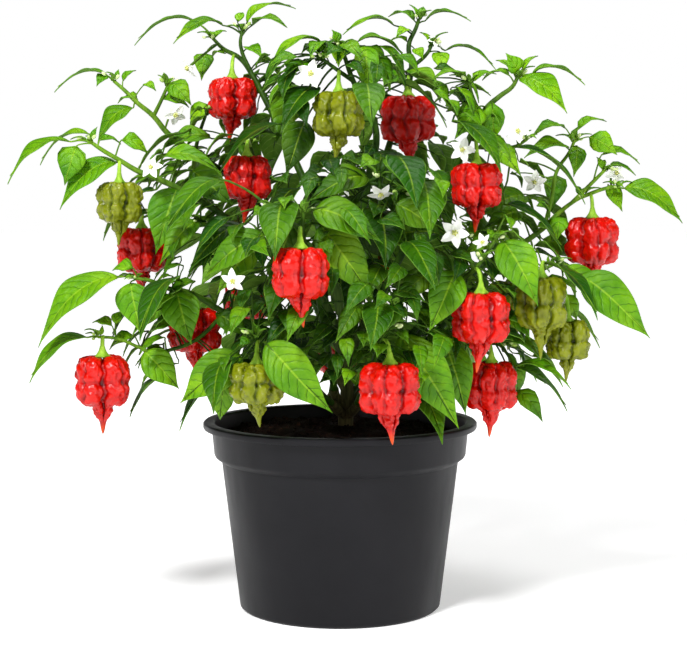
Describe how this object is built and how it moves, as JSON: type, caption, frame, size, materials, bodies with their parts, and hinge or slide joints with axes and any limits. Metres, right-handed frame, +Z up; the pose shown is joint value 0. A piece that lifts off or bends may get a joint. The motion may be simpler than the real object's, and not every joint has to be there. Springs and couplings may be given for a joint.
{
  "type": "potted chilli pepper plant",
  "caption": "Bushy chilli pepper plant with lobed red and green pods and white star flowers, standing in a plain black round nursery pot.",
  "frame": {"origin": "centre of the pot's flat underside, on the surface that the pot stands on", "axes": "+Z up along the pot's axis, +X to the right and -Y to the front of the plant as it is usually seen"},
  "size_m": [0.4619, 0.3132, 0.4245],
  "materials": {
    "pot_plastic": "satin black moulded plastic",
    "soil": "dark crumbly potting soil",
    "bark": "green to brown young woody stem",
    "foliage": "satin living leaf and green stem",
    "ripe_pod": "glossy wrinkled red skin",
    "unripe_pod": "glossy wrinkled olive green skin",
    "petal": "soft matt white petal"
  },
  "bodies": {
    "root": {"branch_back_centre": "foliage", "branch_back_left": "foliage", "branch_back_low_left": "foliage", "branch_back_low_right": "foliage", "branch_back_right": "foliage", "branch_back_upper": "foliage", "branch_front_centre": "foliage", "branch_front_left_low": "foliage", "branch_front_right_low": "foliage", "branch_front_upper": "foliage", "branch_left": "foliage", "branch_left_low": "foliage", "branch_left_upper": "foliage", "branch_right": "foliage", "branch_right_front": "foliage", "branch_right_low": "foliage", "branch_right_upper": "foliage", "branch_top_centre": "foliage", "branch_top_left": "foliage", "branch_top_right": "foliage", "flower_back_centre": "petal", "flower_back_upper": "petal", "flower_front_centre": "petal", "flower_front_upper": "petal", "flower_left": "petal", "flower_left_upper": "petal", "flower_right_1": "petal", "flower_right_2": "petal", "flower_right_front_1": "petal", "flower_right_front_2": "petal", "flower_right_upper_1": "petal", "flower_right_upper_2": "petal", "flower_top_centre": "petal", "flower_top_left": "petal", "flower_top_right": "petal", "pod_back_centre": "ripe_pod", "pod_back_left": "ripe_pod", "pod_back_low_left": "ripe_pod", "pod_back_low_right": "unripe_pod", "pod_back_right": "unripe_pod", "pod_front_centre": "ripe_pod", "pod_front_left_low": "unripe_pod", "pod_front_right_low": "ripe_pod", "pod_left_1": "unripe_pod", "pod_left_2": "ripe_pod", "pod_left_low_1": "ripe_pod", "pod_left_low_2": "ripe_pod", "pod_left_upper": "ripe_pod", "pod_right": "ripe_pod", "pod_right_front": "ripe_pod", "pod_right_low_1": "unripe_pod", "pod_right_low_2": "unripe_pod", "pod_right_low_3": "ripe_pod", "pod_right_upper": "ripe_pod", "pod_top_centre": "unripe_pod", "pod_top_left": "ripe_pod", "pod_top_right": "ripe_pod", "pot": "pot_plastic", "soil": "soil", "trunk": "bark"}
  },
  "joints": []
}
